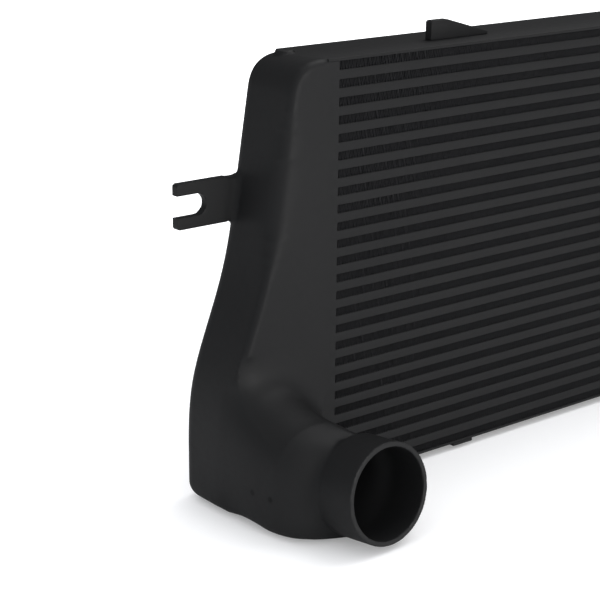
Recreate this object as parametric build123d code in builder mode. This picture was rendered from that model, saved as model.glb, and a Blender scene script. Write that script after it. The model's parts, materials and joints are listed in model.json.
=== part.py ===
from build123d import *
import os

# Charge air cooler: a bar-and-plate core between two cast end tanks.
# Millimetres, +Z up. X runs across the core, and the outlets point to -Y.
# The origin lies on the standing plane, under the middle of the whole.

# Core, from the top: side plate, then air rows with a charge tube between each two
air_rows = 25
fin_height = 7.4          # clear height of an air row
bar_height = 6.5          # clear height of a charge passage
sheet = 0.8               # parting sheet between air and charge side
side_plate = 2.6          # closes the stack at the top and at the bottom
fin_width = 656.0         # length of an air row between its closing bars
core_depth = 72.0
rail_width = 8.0          # front and rear bars of a charge tube
closing_bar = 12.0        # bar that closes an air row at each end
fin_setback = 1.0         # fins stand this far behind the bar faces
fin_folds = 20            # folds drawn in an air fin
fin_gauge = 0.6
turbulator_walls = 3      # walls drawn of the inner fin of a charge tube
turbulator_gauge = 0.8

# End tanks, hollow castings. Reaches are measured outwards from the core's end.
wall = 4.5
tank_drop = 7.0           # the tank's foot hangs this far below the core
shoulder_reach = 37.8
shoulder_drop = 28.0      # height of the rounded top corner
lid_run = 4.0             # flat of the top before the corner
waist_reach = 50.0
waist_height = 287.0
neck_reach = 65.3
neck_height = 208.0
flare_reach = 92.6
flare_height = 132.0
foot_reach = 103.7
foot_height = 48.0        # top of the foot's upright side
foot_corner = 17.0
front_round = 6.0
rear_round = 15.0

# Outlet at the foot of each tank
outlet_radius = 44.45     # 88.9 mm hose spigot
outlet_tilt = 6.7         # degrees, mouth looks a little up
outlet_turn = 3.0         # degrees, and a little to the middle
outlet_reach = 122.0      # middle of the mouth, ahead of the core's face
outlet_out = 29.0         # middle of the mouth, outwards from the core's end
outlet_height = 50.0      # middle of the mouth, above the standing plane
outlet_straight = 40.0    # length of the round spigot
mouth_round = 1.2         # rounding of the rim, outside and inside
sole_fullness = 1.05       # how square the swelling's lower outer corner is, 0.55 is round
round_fullness = 0.5523

# Sections of the swelling that leads into the outlet, from inside the tank forwards:
# behind the face, how far the outer side stays inside the foot's reach, reach inwards, reach
# of the crest, bottom, top, fullness of the outer shoulder and of the ramp that comes down
# on the core's side
swelling = [
    (30.0, 8.7, 10.0, 66.0, 5.0, 120.0, 0.82, 0.42),
    (-20.0, 1.1, 3.0, 58.0, 1.0, 109.0, 0.84, 0.38),
    (-64.0, 10.7, -4.0, 40.0, 0.8, 92.0, 0.72, 0.42),
]
joint_round = 18.0        # hollow curve from the flat panel down onto the swelling
joint_limit = 135.0       # the swelling's joint with the panel lies under this height

# Forked mounting lug on each tank
lug_thick = 8.0
lug_setback = 58.0        # front of the lug, behind the core's face
lug_reach = 114.3
lug_height = 269.8        # middle of the slot, above the standing plane
lug_width = 39.5
slot_width = 19.0
slot_bottom = 84.3        # reach of the slot's round end
lug_round = 2.5           # corners of the two prongs

# Small pieces
boss_radius = 8.0
boss_rise = 2.6
boss_out = 8.0
boss_setback = 50.0
tab_left = 127.3          # top tab's upright edge, inwards from the end of the fins
tab_crown = 20.0
tab_length = 70.7
tab_rise = 17.5
tab_toe = 3.0
tab_thick = 8.0
tab_setback = 26.0
foot_tab_in = 149.0       # foot tab's near end, inwards from the end of the fins
foot_tab_length = 25.0
foot_tab_depth = 8.0
foot_tab_drop = 3.0
tab_round = 2.5

# Derived sizes
tube_height = bar_height + 2 * sheet
core_base = tank_drop
stack_top = core_base + side_plate + air_rows * fin_height + (air_rows - 1) * tube_height
core_top = stack_top + side_plate
fin_end = fin_width / 2
core_end = fin_end + closing_bar
core_width = 2 * core_end
mouth_aim = Vector(0, -1, 0).rotate(Axis.X, -outlet_tilt).rotate(Axis.Z, outlet_turn)
rim_lead = (outlet_radius - mouth_round) * (1 - mouth_aim.Y ** 2) ** 0.5
rim_lead += mouth_round * (1 + mouth_aim.Y)
whole_depth = outlet_reach + rim_lead + core_depth
core_face = whole_depth / 2 - core_depth
core_middle = core_face + core_depth / 2
shoulder_height = core_top - shoulder_drop


# Plane parallel to the core's face, this far behind it, looking out to -Y
def facing(behind, height=0):
    return Plane(origin=(0, core_face + behind, height), x_dir=(1, 0, 0), z_dir=(0, -1, 0))


# Height of the bottom of an air row, counted from 1 at the top
def row_floor(row):
    return stack_top - row * fin_height - (row - 1) * tube_height


def write(piece, name):
    piece.label = name
    export_step(piece, f"parts/{name}.step")


os.makedirs("parts", exist_ok=True)


# Air fins: one folded strip in each air row, its crests on the sheets
def air_fin(row):
    fold = fin_width / fin_folds / 2
    low, high = fin_gauge / 2, fin_height - fin_gauge / 2
    crests = [(-fin_end + i * fold, high if i % 2 else low) for i in range(2 * fin_folds + 1)]
    upper = [(x, z + fin_gauge / 2) for x, z in crests]
    lower = [(x, z - fin_gauge / 2) for x, z in reversed(crests)]
    with BuildPart() as fin:
        with BuildSketch(facing(fin_setback, row_floor(row))):
            with BuildLine():
                Polyline(*upper, *lower, close=True)
            make_face()
        extrude(amount=-(core_depth - 2 * fin_setback))
    return fin.part


# Charge tubes: two sheets on a front and a rear bar, with the inner fin's walls between
# them, and on the ends the bars that close the air row above
def charge_tube(row):
    bars = closing_bars(row_floor(row))
    passage = core_depth - 2 * rail_width
    channel = (passage - turbulator_walls * turbulator_gauge) / (turbulator_walls + 1)
    start = (-core_end, core_middle, row_floor(row) - tube_height / 2)
    with BuildPart() as tube:
        with BuildSketch(Plane(origin=start, x_dir=(0, 1, 0), z_dir=(1, 0, 0))):
            Rectangle(core_depth, tube_height)
            with GridLocations(channel + turbulator_gauge, 1, turbulator_walls + 1, 1):
                Rectangle(channel, bar_height, mode=Mode.SUBTRACT)
        extrude(amount=core_width)
        add(bars)
    return tube.part


def closing_bars(floor):
    with BuildPart() as bars:
        with BuildSketch(Plane.XY.offset(floor)):
            with Locations((0, core_middle)):
                with GridLocations(core_width - closing_bar, 1, 2, 1):
                    Rectangle(closing_bar, core_depth)
        extrude(amount=fin_height)
    return bars.part


for row in range(1, air_rows + 1):
    write(air_fin(row), f"air_fin_{row:02d}")
for row in range(1, air_rows):
    write(charge_tube(row), f"charge_tube_{row:02d}")

with BuildPart() as top_plate:
    with BuildSketch(Plane.XY.offset(stack_top)):
        with Locations((0, core_middle)):
            Rectangle(core_width, core_depth)
    extrude(amount=side_plate)

lowest_bars = closing_bars(core_base + side_plate)
with BuildPart() as bottom_plate:
    with BuildSketch(Plane.XY.offset(core_base)):
        with Locations((0, core_middle)):
            Rectangle(core_width, core_depth)
    extrude(amount=side_plate)
    add(lowest_bars)

write(top_plate.part, "top_plate")
write(bottom_plate.part, "bottom_plate")


# End tank: the outline seen from the front, pulled back over the core's depth. The
# hollow is the same outline drawn a wall further in, run out through the open side.
def tank_outline(inset, core_side):
    side = -core_end + inset
    with BuildLine() as outline:
        lid = Line((core_side, core_top - inset), (side - lid_run, core_top - inset))
        crown = Spline(
            lid @ 1, (side - shoulder_reach, core_top - shoulder_drop),
            tangents=[(-1, 0), (shoulder_reach - waist_reach, waist_height - shoulder_height)],
        )
        flank = Line(crown @ 1, (side - waist_reach, waist_height))
        belly = Spline(
            flank @ 1, (side - neck_reach, neck_height), (side - flare_reach, flare_height),
            (side - foot_reach, foot_height), tangents=[flank % 1, (0, -1)],
        )
        foot = Line(belly @ 1, (side - foot_reach, foot_corner))
        heel = RadiusArc(foot @ 1, (side - foot_reach + foot_corner - inset, inset),
                         -(foot_corner - inset))
        sole = Line(heel @ 1, (core_side, inset))
        Line(sole @ 1, lid @ 0)
    return outline.line


def tank_body(inset, core_side):
    outline = tank_outline(inset, core_side)
    with BuildPart() as body:
        with BuildSketch(facing(inset)):
            with BuildLine():
                add(outline)
            make_face()
        extrude(amount=-(core_depth - 2 * inset))
        front = body.faces().sort_by(Axis.Y)[0].edges()
        rear = body.faces().sort_by(Axis.Y)[-1].edges()
        fillet([e for e in front if e.center().X < core_side - 1], front_round - inset / 2)
        fillet([e for e in rear if e.center().X < core_side - 1], rear_round - inset)
    return body.part


# One section of the swelling: four quarter curves that meet under and over the crest and
# level with the outlet's axis, the outer pair fuller
def swelling_ring(short, inward, crest, bottom, top, shoulder, ramp, inset):
    left, right = -core_end - foot_reach + short + inset, -core_end - inward - inset
    middle, axis = -core_end - crest, root.origin.Z
    low, high = bottom + inset, top - inset
    with BuildLine() as ring:
        for side, end, k, flip in (
            (left, high, shoulder, False), (left, low, sole_fullness, True),
            (right, low, round_fullness, False), (right, high, ramp, True),
        ):
            side_pull, end_pull = axis + (end - axis) * k, middle + (side - middle) * k
            points = ((side, axis), (side, side_pull), (end_pull, end), (middle, end))
            Bezier(*(points if flip else points[::-1]))
    return ring.line


# The same four quarters as true arcs
def round_ring(radius):
    with BuildLine() as ring:
        for start in (90, 180, 270, 0):
            CenterArc((0, 0), radius, start, 90)
    return ring.line


mouth_middle = Vector(-core_end - outlet_out, core_face - outlet_reach, outlet_height)
mouth = Plane(origin=mouth_middle, x_dir=Vector(0, 0, 1).cross(mouth_aim), z_dir=mouth_aim)
root = mouth.offset(-outlet_straight)


# Swelling of the tank's foot that turns forward and closes to the round spigot
def outlet(inset):
    radius = outlet_radius - inset
    with BuildPart() as duct:
        for behind, *shape in swelling:
            with BuildSketch(facing(behind)):
                with BuildLine():
                    add(swelling_ring(*shape, inset))
                make_face()
        with BuildSketch(root):
            with BuildLine():
                add(round_ring(radius))
            make_face()
        loft()
        with BuildSketch(root):
            with BuildLine():
                add(round_ring(radius))
            make_face()
        extrude(amount=outlet_straight)
        if inset == 0:
            fillet(duct.faces().sort_by(Axis.Y)[0].edges(), mouth_round)
    return duct.part


outer_body, inner_body = tank_body(0, -core_end), tank_body(wall, -core_end + wall)
outer_duct, inner_duct = outlet(0), outlet(wall)

# The curved edges where the swelling leaves the tank's flat panel
def panel_joint(edge):
    box = edge.bounding_box()
    on_panel = max(abs(box.min.Y - core_face), abs(box.max.Y - core_face)) < 0.01
    return on_panel and edge.geom_type == GeomType.BSPLINE and box.max.Z < joint_limit


with BuildPart() as left_tank:
    add(outer_body)
    add(outer_duct)
    fillet([edge for edge in left_tank.edges() if panel_joint(edge)], joint_round)
    with BuildSketch(facing(lug_setback)) as lug:
        with BuildLine():
            low, high = lug_height - lug_width / 2, lug_height + lug_width / 2
            tip, heel = -core_end - lug_reach, -core_end - waist_reach
            Polyline((tip, low), (heel, low), (heel, high), (tip, high), close=True)
        make_face()
        fillet(lug.vertices().group_by(Axis.X)[0], lug_round)
        slot_middle = -core_end - slot_bottom - slot_width / 2
        with Locations((slot_middle, lug_height)):
            Circle(slot_width / 2, mode=Mode.SUBTRACT)
        with Locations(((tip + slot_middle) / 2, lug_height)):
            Rectangle(slot_middle - tip, slot_width, mode=Mode.SUBTRACT)
    extrude(amount=-lug_thick)
    with BuildSketch(Plane.XY.offset(core_top - wall)):
        with Locations((-core_end - boss_out, core_face + boss_setback)):
            Circle(boss_radius)
    extrude(amount=wall + boss_rise)
    add(inner_body, mode=Mode.SUBTRACT)
    add(inner_duct, mode=Mode.SUBTRACT)

with BuildPart() as right_tank:
    mirror(left_tank.part, about=Plane.YZ)

write(left_tank.part, "left_tank")
write(right_tank.part, "right_tank")


# Tabs welded to the side plates, one near each quarter of the core
def top_tab():
    start = -fin_end + tab_left
    with BuildPart() as tab:
        with BuildSketch(facing(tab_setback)) as plate:
            with BuildLine():
                Polyline(
                    (start, core_top), (start, core_top + tab_rise),
                    (start + tab_crown, core_top + tab_rise),
                    (start + tab_length, core_top + tab_toe), (start + tab_length, core_top),
                    close=True,
                )
            make_face()
            crown = plate.vertices().group_by(Axis.Y)[-1]
            fillet(crown.sort_by(Axis.X)[0], tab_round)
            fillet(crown.sort_by(Axis.X)[-1], tab_crown)
        extrude(amount=-tab_thick)
    return tab.part


def foot_tab():
    start = -fin_end + foot_tab_in
    with BuildPart() as tab:
        with BuildSketch(Plane.XY.offset(core_base)):
            with Locations((start + foot_tab_length / 2, core_face + foot_tab_depth / 2)):
                Rectangle(foot_tab_length, foot_tab_depth)
        extrude(amount=-foot_tab_drop)
    return tab.part


for name, tab in (("top_tab", top_tab()), ("foot_tab", foot_tab())):
    with BuildPart() as right_tab:
        mirror(tab, about=Plane.YZ)
    write(tab, f"{name}_left")
    write(right_tab.part, f"{name}_right")
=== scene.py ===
import json
import math
import random

import bmesh
import bpy
from mathutils import Euler, Matrix, Vector

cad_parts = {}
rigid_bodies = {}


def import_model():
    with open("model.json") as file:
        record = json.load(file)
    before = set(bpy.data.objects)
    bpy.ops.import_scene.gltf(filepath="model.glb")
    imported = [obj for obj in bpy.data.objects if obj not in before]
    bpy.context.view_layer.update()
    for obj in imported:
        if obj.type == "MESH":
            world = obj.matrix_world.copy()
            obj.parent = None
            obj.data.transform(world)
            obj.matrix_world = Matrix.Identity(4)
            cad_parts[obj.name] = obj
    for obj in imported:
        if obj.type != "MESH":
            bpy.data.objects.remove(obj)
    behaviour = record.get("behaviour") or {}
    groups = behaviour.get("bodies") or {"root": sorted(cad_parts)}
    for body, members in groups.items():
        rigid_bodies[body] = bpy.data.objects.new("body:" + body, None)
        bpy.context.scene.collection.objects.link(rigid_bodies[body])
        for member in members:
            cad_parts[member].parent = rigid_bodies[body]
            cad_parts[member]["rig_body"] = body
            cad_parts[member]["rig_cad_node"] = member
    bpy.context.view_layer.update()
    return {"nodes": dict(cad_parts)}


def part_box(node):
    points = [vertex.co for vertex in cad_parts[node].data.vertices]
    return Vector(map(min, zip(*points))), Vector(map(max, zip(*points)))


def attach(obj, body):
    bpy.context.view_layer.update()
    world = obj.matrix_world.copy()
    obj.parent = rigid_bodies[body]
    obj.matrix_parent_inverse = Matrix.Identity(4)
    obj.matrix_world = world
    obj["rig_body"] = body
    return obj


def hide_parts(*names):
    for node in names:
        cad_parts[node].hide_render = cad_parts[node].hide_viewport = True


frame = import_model()
nodes = frame["nodes"]
print("frame loaded with", len(nodes), "nodes")

cameraView = {
    "place": (-1.2051, -1.0229, 0.6134),
    "azimuth": 38.53,  # degrees to the left of the front
    "elevation": 17.59,
    "roll": 0.447,
    "lens": 98.66,
    "sensor": 36.0,
    "nearest": 0.05,
}


def addCamera(view):
    cameraData = bpy.data.cameras.new("photoCamera")
    cameraData.sensor_width = view["sensor"]
    cameraData.lens = view["lens"]
    cameraData.clip_start = view["nearest"]
    camera = bpy.data.objects.new("photoCamera", cameraData)
    bpy.context.scene.collection.objects.link(camera)
    pitch = math.radians(90 - view["elevation"])
    turn = Euler((pitch, 0, -math.radians(view["azimuth"]))).to_matrix()
    turn = turn @ Matrix.Rotation(math.radians(view["roll"]), 3, "Z")
    camera.matrix_world = Matrix.Translation(view["place"]) @ turn.to_4x4()
    bpy.context.scene.camera = camera


addCamera(cameraView)
print("camera placed")


# Small helpers for working on one object at a time
welding = {
    "gap": 1e-6,
    "flatAngle": 0.5,  # faces that differ by less than this, in degrees, count as one
}


def deselectAll():
    if bpy.context.object and bpy.context.object.mode != "OBJECT":
        bpy.ops.object.mode_set(mode="OBJECT")
    bpy.ops.object.select_all(action="DESELECT")


def makeActive(piece):
    deselectAll()
    piece.select_set(True)
    bpy.context.view_layer.objects.active = piece


def applyModifier(piece, kind, **settings):
    makeActive(piece)
    modifier = piece.modifiers.new(kind.lower(), kind)
    for key, value in settings.items():
        setattr(modifier, key, value)
    bpy.ops.object.modifier_apply(modifier=modifier.name)


def smoothByAngle(piece, degrees):
    makeActive(piece)
    bpy.ops.object.shade_smooth_by_angle(angle=math.radians(degrees))


# A welded-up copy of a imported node, to be shaped further
def copyNode(nodeName, pieceName):
    node = nodes[nodeName]
    piece = node.copy()
    piece.data = node.data.copy()
    piece.name = piece.data.name = pieceName
    piece.parent = None
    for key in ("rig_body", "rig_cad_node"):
        del piece[key]
    bpy.context.scene.collection.objects.link(piece)
    makeActive(piece)
    bpy.ops.mesh.customdata_custom_splitnormals_clear()
    bpy.ops.object.mode_set(mode="EDIT")
    bpy.ops.mesh.select_all(action="SELECT")
    bpy.ops.mesh.remove_doubles(threshold=welding["gap"])
    bpy.ops.object.mode_set(mode="OBJECT")
    return piece


def copyPiece(piece, pieceName, change):
    twin = piece.copy()
    twin.data = piece.data.copy()
    twin.name = twin.data.name = pieceName
    twin.data.transform(change)
    bpy.context.scene.collection.objects.link(twin)
    return twin


def dissolveFlats(piece):
    makeActive(piece)
    bpy.ops.object.mode_set(mode="EDIT")
    bpy.ops.mesh.select_all(action="SELECT")
    bpy.ops.mesh.dissolve_limited(angle_limit=math.radians(welding["flatAngle"]))
    bpy.ops.object.mode_set(mode="OBJECT")


# Rounds only the edges that the test picks by their two ends
def bevelEdges(piece, width, segments, pick):
    mesh = piece.data
    weights = mesh.attributes.new("bevel_weight_edge", "FLOAT", "EDGE")
    for edge in mesh.edges:
        first, second = (mesh.vertices[i].co for i in edge.vertices)
        weights.data[edge.index].value = 1.0 if pick(first, second) else 0.0
    applyModifier(
        piece, "BEVEL", width=width, segments=segments,
        limit_method="WEIGHT", harden_normals=False,
    )


def finish(piece, material, slotName, *nodeNames):
    piece.data.materials.clear()
    piece.data.materials.append(material)
    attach(piece, "root")
    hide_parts(*nodeNames)


# Shader helpers: a value is either another node's output or a plain number or colour
def newMaterial(materialName):
    material = bpy.data.materials.new(materialName)
    material.use_nodes = True
    tree = material.node_tree
    return material, tree, tree.nodes["Principled BSDF"]


def feed(tree, socket, value):
    if isinstance(value, bpy.types.NodeSocket):
        tree.links.new(value, socket)
    else:
        socket.default_value = value


def addNode(tree, kind, **values):
    node = tree.nodes.new(kind)
    for key, value in values.items():
        feed(tree, node.inputs[key], value)
    return node


def calculate(tree, operation, *values):
    node = tree.nodes.new("ShaderNodeMath")
    node.operation = operation
    for socket, value in zip(node.inputs, values):
        feed(tree, socket, value)
    return node.outputs["Value"]


def vectorNode(tree, operation, *values):
    node = tree.nodes.new("ShaderNodeVectorMath")
    node.operation = operation
    for socket, value in zip(node.inputs, values):
        feed(tree, socket, value)
    return node.outputs


def overlay(tree, under, over, amount):
    mix = tree.nodes.new("ShaderNodeMix")
    mix.data_type = "RGBA"
    factor, underSocket, overSocket = mix.inputs[0], mix.inputs[6], mix.inputs[7]
    feed(tree, factor, amount)
    feed(tree, underSocket, under)
    feed(tree, overSocket, over)
    return mix.outputs[2]


# Turns a value between low and high into one between start and end
def rampNode(tree, value, low, high, start, end):
    limits = {"From Min": low, "From Max": high, "To Min": start, "To Max": end}
    return addNode(tree, "ShaderNodeMapRange", Value=value, **limits).outputs["Result"]


def objectPlace(tree):
    return tree.nodes.new("ShaderNodeTexCoord").outputs["Object"]


# Satin black powder coat: fine orange peel, a faint cloudiness and uneven gloss
coat = {
    "shade": (0.0125, 0.0127, 0.0132, 1),
    "thinShade": (0.0165, 0.0166, 0.0170, 1),
    # the fins' two tones are the same coat painted lighter than on the bars: painted light in
    # the recessed fin rows
    "finPaintedLightShade": (0.0330, 0.0330, 0.0350, 1),
    "finPaintedLightThinShade": (0.0440, 0.0440, 0.0460, 1),
    "roughness": (0.47, 0.60),
    "specular": 0.20,
    "peelStrength": 0.35,
    "tankPeel": 0.00016,
    "barPeel": 0.00010,
    "finPeel": 0.00005,
    # each texture: scale, detail and roughness
    "cloud": (9, 4, 0.55),
    "peel": (900, 3, 0.6),
    "mottle": (160, 2, 0.5),
}


def satinCoat(materialName, shade, thinShade, peelDepth):
    material, tree, shader = newMaterial(materialName)
    place = objectPlace(tree)

    def texture(name):
        scale, detail, roughness = coat[name]
        values = {"Vector": place, "Scale": scale, "Detail": detail, "Roughness": roughness}
        return addNode(tree, "ShaderNodeTexNoise", **values).outputs["Fac"]

    tint = overlay(tree, shade, thinShade, texture("cloud"))
    gloss = rampNode(tree, texture("mottle"), 0, 1, *coat["roughness"])
    bump = addNode(
        tree, "ShaderNodeBump",
        Strength=coat["peelStrength"], Distance=peelDepth, Height=texture("peel"),
    )
    feed(tree, shader.inputs["Base Color"], tint)
    feed(tree, shader.inputs["Roughness"], gloss)
    feed(tree, shader.inputs["Normal"], bump.outputs["Normal"])
    feed(tree, shader.inputs["Specular IOR Level"], coat["specular"])
    return material


# The left tank's spigot: middle of its mouth, the way it looks, and its walls
spigot = {
    "middle": (-0.369, -0.094233, 0.050),
    "aim": (0.05198, -0.99181, 0.11667),
    "outer": 0.04445,
    "inner": 0.03995,
    "rounding": 0.0012,
    "length": 0.034,
    "boreLength": 0.022,
    "margin": 0.002,  # how far off its wall a vertex still belongs to the spigot
}

# Painted light on the outlet and the casting, on top of the coat: the rim is a little paler, a
# painted highlight, and two small dark spots are painted shade of two small pits on the
# swelling's outer side
paintedHighlightAndShade = {
    "rimDepth": 0.0016,
    "rimFull": 0.00048,  # paler all over from this depth to the mouth
    "rimPaintedHighlight": (0.0210, 0.0212, 0.0215, 1),
    "pits": ((0.4409, -0.0006, 0.0377), (0.4379, -0.0213, 0.0377)),
    "pitSize": 0.0034,
    "pitCore": 0.0017,
    "pitPaintedShade": (0.0045, 0.0045, 0.0048, 1),
}


# Both tanks share the painted highlight and shade: distances are taken from the middle
# outwards
def outwardPlace(tree):
    split = tree.nodes.new("ShaderNodeSeparateXYZ")
    feed(tree, split.inputs[0], objectPlace(tree))
    outwards = calculate(tree, "ABSOLUTE", split.outputs["X"])
    join = addNode(
        tree, "ShaderNodeCombineXYZ",
        X=outwards, Y=split.outputs["Y"], Z=split.outputs["Z"],
    )
    return join.outputs[0]


def mirrored(x, y, z):
    return (-x, y, z)


# Paints the rim's highlight and the pits' shade into the tank coat's colour
def addPaintedHighlightAndShade(material):
    tree = material.node_tree
    shader = material.node_tree.nodes["Principled BSDF"]
    colour = shader.inputs["Base Color"].links[0].from_socket
    place = outwardPlace(tree)
    offset = vectorNode(tree, "SUBTRACT", place, mirrored(*spigot["middle"]))["Vector"]
    ahead = vectorNode(tree, "DOT_PRODUCT", offset, mirrored(*spigot["aim"]))["Value"]
    # painted highlight: the rim turns paler towards the mouth
    rim = rampNode(tree, ahead, -paintedHighlightAndShade["rimDepth"], -paintedHighlightAndShade["rimFull"], 0, 1)
    colour = overlay(tree, colour, paintedHighlightAndShade["rimPaintedHighlight"], rim)
    # painted shade: a dark spot at each pit
    for pit in paintedHighlightAndShade["pits"]:
        away = vectorNode(tree, "DISTANCE", place, pit)["Value"]
        near = rampNode(tree, away, paintedHighlightAndShade["pitCore"], paintedHighlightAndShade["pitSize"], 1, 0)
        colour = overlay(tree, colour, paintedHighlightAndShade["pitPaintedShade"], near)
    feed(tree, shader.inputs["Base Color"], colour)


tankCoat = satinCoat("tankCoat", coat["shade"], coat["thinShade"], coat["tankPeel"])
# the tank coat gets the painted rim highlight and the painted pit shade
addPaintedHighlightAndShade(tankCoat)
barCoat = satinCoat("barCoat", coat["shade"], coat["thinShade"], coat["barPeel"])
# the fins get the satin coat painted lighter: painted light in the recessed fin rows
finPaintedLightCoat = satinCoat("finPaintedLightCoat", coat["finPaintedLightShade"], coat["finPaintedLightThinShade"], coat["finPeel"])
print("materials made")


# Air fins: a thin strip folded up and down between two tubes
finStrip = {
    "pitch": 0.003,
    "gauge": 0.00022,
    "steps": 4,  # grid steps in one fold: up, along, down, along
    "raised": (1, 2),  # the grid lines of a fold that lie at its top
    "wander": 0.00016,  # how far a fold leans from its place
    "seed": 5,
}


def foldStrip(low, high, pieceName):
    length, depth, height = high - low
    folds = round(length / finStrip["pitch"])
    columns = folds * finStrip["steps"]
    gauge = finStrip["gauge"]
    deselectAll()
    bpy.ops.mesh.primitive_grid_add(x_subdivisions=columns, y_subdivisions=1, size=1)
    strip = bpy.context.object
    strip.name = strip.data.name = pieceName
    strip.scale = (length - gauge, depth, 1)
    strip.location = ((low.x + high.x) / 2, (low.y + high.y) / 2, low.z + gauge / 2)
    bpy.ops.object.transform_apply(location=True, rotation=True, scale=True)
    bpy.ops.object.mode_set(mode="EDIT")
    mesh = bmesh.from_edit_mesh(strip.data)
    step = (length - gauge) / columns
    for vertex in mesh.verts:
        column = round((vertex.co.x - low.x - gauge / 2) / step)
        vertex.select_set(column % finStrip["steps"] in finStrip["raised"])
    mesh.select_flush(True)
    bmesh.update_edit_mesh(strip.data)
    bpy.ops.transform.translate(value=(0, 0, height - gauge))
    bpy.ops.object.mode_set(mode="OBJECT")
    applyModifier(strip, "SOLIDIFY", thickness=gauge, offset=0)
    return strip


# Each row's folds lean a little differently, and its two ends stay where they are
def leanFolds(strip, low, high, chance):
    lean = {}
    for vertex in strip.data.vertices:
        fold = round((vertex.co.x - low.x) / finStrip["pitch"])
        if fold not in lean:
            lean[fold] = chance.uniform(-1, 1) * finStrip["wander"]
        fromEnds = min(vertex.co.x - low.x, high.x - vertex.co.x)
        if fromEnds > finStrip["pitch"]:
            vertex.co.x += lean[fold]


def addFins():
    chance = random.Random(finStrip["seed"])
    low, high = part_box("air_fin_01")
    first = foldStrip(low, high, "airFin01")
    strips = [first]
    finNodes = sorted(name for name in nodes if name.startswith("air_fin"))
    for number, nodeName in enumerate(finNodes[1:], start=2):
        rise = Matrix.Translation((0, 0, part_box(nodeName)[0].z - low.z))
        strips.append(copyPiece(first, f"airFin{number:02d}", rise))
    for strip, nodeName in zip(strips, finNodes):
        leanFolds(strip, low, high, chance)
        finish(strip, finPaintedLightCoat, "fins", nodeName)
    return low, high


finLow, finHigh = addFins()
print("air fins folded")


# Core: the bars' long edges are eased, as extruded bar comes
core = {
    "barEase": 0.00045,
    "easeStop": 0.001,  # the easing ends this far inside the closing bars
    "plateEase": 0.0006,
    "segments": 2,
    "smoothAngle": 30,
    "faceGap": 1e-5,
    "longShare": 0.9,  # an edge this long, as a share of the whole length, is a long edge
}


def cutAcross(piece, places):
    makeActive(piece)
    bpy.ops.object.mode_set(mode="EDIT")
    for place in places:
        bpy.ops.mesh.select_all(action="SELECT")
        bpy.ops.mesh.bisect(plane_co=(place, 0, 0), plane_no=(1, 0, 0))
    bpy.ops.object.mode_set(mode="OBJECT")


# Eases the edges that run along the piece's front and rear face
def finishBar(piece, nodeName, ease, length):
    low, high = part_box(nodeName)

    def longEdge(first, second):
        fromFace = min(abs(first.y - low.y), abs(first.y - high.y))
        span = abs(first.x - second.x)
        return fromFace < core["faceGap"] and span > length * core["longShare"]

    bevelEdges(piece, ease, core["segments"], longEdge)
    smoothByAngle(piece, core["smoothAngle"])
    finish(piece, barCoat, "core", nodeName)


def addTubes():
    tubeNodes = sorted(name for name in nodes if name.startswith("charge_tube"))
    for number, nodeName in enumerate(tubeNodes, start=1):
        tube = copyNode(nodeName, f"chargeTube{number:02d}")
        dissolveFlats(tube)
        cutAcross(tube, (finLow.x + core["easeStop"], finHigh.x - core["easeStop"]))
        finishBar(tube, nodeName, core["barEase"], finHigh.x - finLow.x)


def addPlates():
    for nodeName, pieceName in (("top_plate", "topPlate"), ("bottom_plate", "bottomPlate")):
        low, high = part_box(nodeName)
        plate = copyNode(nodeName, pieceName)
        dissolveFlats(plate)
        finishBar(plate, nodeName, core["plateEase"], high.x - low.x)


addTubes()
addPlates()
print("core built")


# Tabs on the side plates, their edges eased all round
tabs = {
    "ease": 0.0007,
    "segments": 3,
    "edgeAngle": 50,
    "smoothAngle": 35,
    "nodes": {
        "top_tab_left": "topTabLeft",
        "top_tab_right": "topTabRight",
        "foot_tab_left": "footTabLeft",
        "foot_tab_right": "footTabRight",
    },
}


def addTabs():
    for nodeName, pieceName in tabs["nodes"].items():
        tab = copyNode(nodeName, pieceName)
        dissolveFlats(tab)
        applyModifier(
            tab, "BEVEL", width=tabs["ease"], segments=tabs["segments"],
            limit_method="ANGLE", angle_limit=math.radians(tabs["edgeAngle"]),
        )
        smoothByAngle(tab, tabs["smoothAngle"])
        finish(tab, barCoat, "core", nodeName)


addTabs()
print("tabs added")


# End tanks: the casting's surfaces are evened out where they flow into each other
coreLow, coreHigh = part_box("top_plate")
coreEnd, coreFace = coreLow.x, coreLow.y

tank = {
    "voxel": 0.002,
    "smoothAngle": 40,
    "smoothFactor": 0.5,
    "boreReach": 0.031,
    "boreHeight": 0.047,
    "rimZone": 0.0022,  # band at the open end whose worn corner is squared again
    "rimShare": 0.7,  # part of that band's width that is drawn out
    # each patch: corners in mm, as reach outwards, distance behind the face and height; rounds
    "patches": [
        # the outer side runs flush from the tank onto the swelling
        ("side", (70, -52, 4), (112, 16, 122), 260),
        ("side", (66, -62, 2), (112, 28, 132), 24),
        # hollow between the flat panel and the swelling's ramp
        ("ramp", (3, -54, 56), (92, 4, 146), 170),
        # front edge, softest a little above the middle
        ("edge", (20, -2, 204), (78, 16, 388), 6),
        ("edge", (26, -2, 212), (74, 20, 350), 14),
        ("edge", (26, -2, 220), (72, 26, 345), 24),
        ("edge", (26, -2, 230), (70, 26, 335), 40),
        ("edge", (26, -2, 244), (68, 26, 310), 60),
        # the lug's root, and the boss on the top
        ("root", (44, 55, 244), (62, 69, 296), 16),
        ("root", (-1, 38, 390), (20, 62, 396), 2),
        # step between the tank's and the swelling's sole, then the swelling's lower corner
        ("sole", (50, -34, -1), (104, 14, 7), 40),
        ("corner", (60, -74, -1), (108, -12, 26), 14),
        # inside of the outlet, where the swelling's hollow meets the bore
        ("bore", (-30, -98, 0), (90, -62, 104), 40),
    ],
}


def facesBore(place, normal):
    axis = Vector((coreEnd - tank["boreReach"], place.y, tank["boreHeight"]))
    return normal.dot(place - axis) < 0


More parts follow.
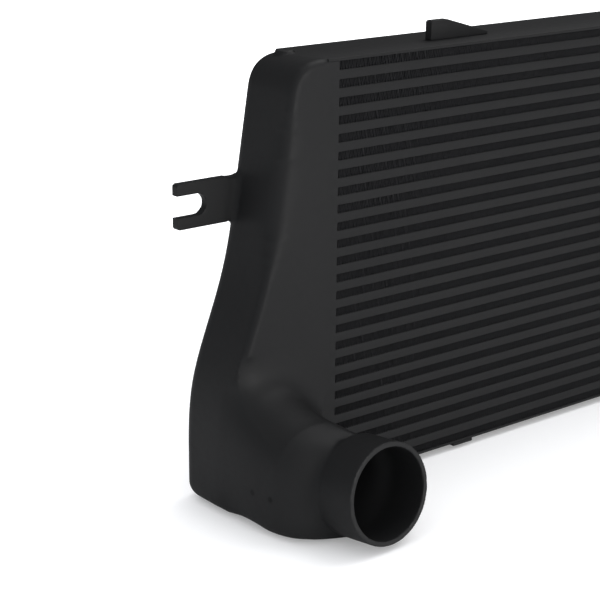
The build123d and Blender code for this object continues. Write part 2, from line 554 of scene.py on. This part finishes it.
# Which way a surface has to face to belong to each kind of patch
facing = {
    "side": lambda place, normal: normal.x < -0.1 or normal.y < -0.2,
    "ramp": lambda place, normal: normal.y < -0.1 or normal.z > 0.15,
    "edge": lambda place, normal: normal.x < -0.05 or normal.y < -0.05,
    "root": lambda place, normal: normal.x < 0.3,
    "sole": lambda place, normal: normal.z < -0.2,
    "corner": lambda place, normal: normal.x < -0.1 or normal.z < -0.2,
    "bore": facesBore,
}


# Leaves the body in edit mode with the picked vertices selected
def selectVertices(body, pick):
    makeActive(body)
    bpy.ops.object.mode_set(mode="EDIT")
    bpy.ops.mesh.select_all(action="DESELECT")
    bpy.ops.object.mode_set(mode="OBJECT")
    for vertex in body.data.vertices:
        vertex.select = pick(vertex.co, vertex.normal)
    bpy.ops.object.mode_set(mode="EDIT")


def metres(millimetres):
    return millimetres / 1000


def smoothPatch(body, kind, low, high, rounds):
    nearX, nearY, nearZ = (metres(value) for value in low)
    farX, farY, farZ = (metres(value) for value in high)
    lows = (coreEnd - farX, coreFace + nearY, nearZ)
    highs = (coreEnd - nearX, coreFace + farY, farZ)

    def inPatch(place, normal):
        inside = all(a < value < b for a, value, b in zip(lows, place, highs))
        return inside and facing[kind](place, normal)

    selectVertices(body, inPatch)
    bpy.ops.mesh.vertices_smooth(factor=tank["smoothFactor"], repeat=rounds)
    bpy.ops.object.mode_set(mode="OBJECT")


# Brings the spigot's wall and rim back onto their true round
def trueSpigot(body):
    middle, aim = Vector(spigot["middle"]), Vector(spigot["aim"]).normalized()
    outer, inner, rounding = spigot["outer"], spigot["inner"], spigot["rounding"]
    half, margin = (outer + inner) / 2, spigot["margin"]
    for vertex in body.data.vertices:
        offset = vertex.co - middle
        ahead = offset.dot(aim)
        across = offset - aim * ahead
        reach = across.length
        outside = reach > half
        length = spigot["length"] if outside else spigot["boreLength"]
        if ahead < -length or not inner - margin < reach < outer + margin:
            continue
        side = 1 if outside else -1
        wall = outer if outside else inner
        corner = wall - side * rounding
        if ahead < -rounding:
            reach = wall
        elif (reach - corner) * side < 0:
            ahead = 0
        else:
            bend = Vector((reach - corner, ahead + rounding)).normalized() * rounding
            reach, ahead = corner + bend.x, bend.y - rounding
        vertex.co = middle + aim * ahead + across.normalized() * reach


# Draws the band at the tank's open end back out to the core's end, face, rear and top
def squareRim(body):
    zone = tank["rimZone"]
    front, rear = coreLow.y - zone, coreHigh.y + zone
    edges = (("x", coreEnd), ("y", coreLow.y), ("y", coreHigh.y), ("z", coreHigh.z))
    for axis, level in edges:
        index = "xyz".index(axis)

        def inRim(place, normal):
            onBand = abs(place.x - coreEnd) < zone and front < place.y < rear
            return onBand and abs(place[index] - level) < zone * tank["rimShare"]

        selectVertices(body, inRim)
        flat = [1, 1, 1]
        flat[index] = 0
        middle = [0, 0, 0]
        middle[index] = level
        bpy.ops.transform.resize(value=flat, center_override=middle)
        bpy.ops.object.mode_set(mode="OBJECT")


def addTank(nodeName, pieceName):
    body = copyNode(nodeName, pieceName)
    body.data.remesh_voxel_size = tank["voxel"]
    makeActive(body)
    bpy.ops.object.voxel_remesh()
    squareRim(body)
    for patch in tank["patches"]:
        smoothPatch(body, *patch)
    trueSpigot(body)
    print("tank triangles", len(body.data.polygons) * 2)
    smoothByAngle(body, tank["smoothAngle"])
    return body


leftTank = addTank("left_tank", "leftTank")
finish(leftTank, tankCoat, "tank", "left_tank")
rightTank = copyPiece(leftTank, "rightTank", Matrix.Scale(-1, 4, (1, 0, 0)))
rightTank.data.flip_normals()
finish(rightTank, tankCoat, "tank", "right_tank")
print("tanks added")


# Plain white studio: floor, sky and soft lamps
studio = {
    "floorSize": 14.0,
    "floorShade": 0.93,
    "floorBounce": 0.62,  # part of the floor's light that reaches the cooler
    "floorLift": 0.26,  # brings the open floor up to white for the camera alone
    "floorMiddle": (-0.1, 0, 0),
    "floorNear": 0.5,  # the lift grows from here to the far distance
    "floorFar": 1.6,
    "contactReach": 0.32,
    "contactDepth": 0.86,
    "contactSamples": 8,
    "skyStrength": 0.98,
    "skyGloss": 0.09,
    "skyShade": (0.96, 0.97, 1.0, 1),
    "lamps": [
        # name, place, size, watts, colour
        ("overhead", (1.0, 0.0, 2.4), 2.4, 30, (1.0, 1.0, 1.0)),
        ("front", (0.2, -3.2, 0.55), 1.1, 40, (1.0, 0.99, 0.98)),
        ("left", (-2.6, -0.4, 0.9), 1.6, 1.0, (0.62, 0.82, 1.0)),
    ],
    "aim": (-0.25, 0, 0.2),
}


def addFloor():
    deselectAll()
    bpy.ops.mesh.primitive_plane_add(size=studio["floorSize"])
    floor = bpy.context.object
    floor.name = floor.data.name = "floor"
    material, tree, shader = newMaterial("floorPaper")
    seen = tree.nodes.new("ShaderNodeLightPath").outputs["Is Camera Ray"]
    contact = addNode(tree, "ShaderNodeAmbientOcclusion", Distance=studio["contactReach"])
    contact.samples = studio["contactSamples"]
    # only the camera sees the contact shadow
    unseen = calculate(tree, "SUBTRACT", 1, seen)
    openFloor = calculate(tree, "MAXIMUM", contact.outputs["AO"], unseen)
    depth = rampNode(tree, openFloor, 0, 1, studio["contactDepth"], 1)
    bounce = rampNode(tree, seen, 0, 1, studio["floorBounce"], 1)
    shade = studio["floorShade"]
    shown = calculate(tree, "MULTIPLY", depth, bounce)
    paper = overlay(tree, (0, 0, 0, 1), (shade, shade, shade, 1), shown)
    distance = vectorNode(tree, "DISTANCE", objectPlace(tree), studio["floorMiddle"])["Value"]
    near, far = studio["floorNear"], studio["floorFar"]
    spread = rampNode(tree, distance, near, far, studio["floorLift"], 1)
    lift = calculate(tree, "MULTIPLY", seen, spread)
    feed(tree, shader.inputs["Roughness"], 1)
    feed(tree, shader.inputs["Specular IOR Level"], 0)
    feed(tree, shader.inputs["Base Color"], paper)
    feed(tree, shader.inputs["Emission Color"], depth)
    feed(tree, shader.inputs["Emission Strength"], lift)
    floor.data.materials.append(material)


# The sky lights the cooler evenly, looks white, and is dim in reflections
def addSky():
    world = bpy.data.worlds.new("studioSky")
    bpy.context.scene.world = world
    world.use_nodes = True
    tree = world.node_tree
    rays = tree.nodes.new("ShaderNodeLightPath").outputs
    strength = rampNode(
        tree, rays["Is Glossy Ray"], 0, 1, studio["skyStrength"], studio["skyGloss"],
    )
    light = tree.nodes["Background"]
    feed(tree, light.inputs["Color"], studio["skyShade"])
    feed(tree, light.inputs["Strength"], strength)
    seen = addNode(tree, "ShaderNodeBackground", Color=(1, 1, 1, 1), Strength=1)
    mix = tree.nodes.new("ShaderNodeMixShader")
    feed(tree, mix.inputs[0], rays["Is Camera Ray"])
    feed(tree, mix.inputs[1], light.outputs[0])
    feed(tree, mix.inputs[2], seen.outputs[0])
    feed(tree, tree.nodes["World Output"].inputs["Surface"], mix.outputs[0])


def addLamps():
    for lampName, place, size, watts, colour in studio["lamps"]:
        lampData = bpy.data.lights.new(lampName, "AREA")
        lampData.shape = "DISK"
        lampData.size = size
        lampData.energy = watts
        lampData.color = colour
        lamp = bpy.data.objects.new(lampName, lampData)
        bpy.context.scene.collection.objects.link(lamp)
        lamp.location = place
        direction = Vector(studio["aim"]) - Vector(place)
        lamp.rotation_euler = direction.to_track_quat("-Z", "Y").to_euler()


addFloor()
addSky()
addLamps()
bpy.context.scene.view_settings.view_transform = "Standard"
print("studio lit")
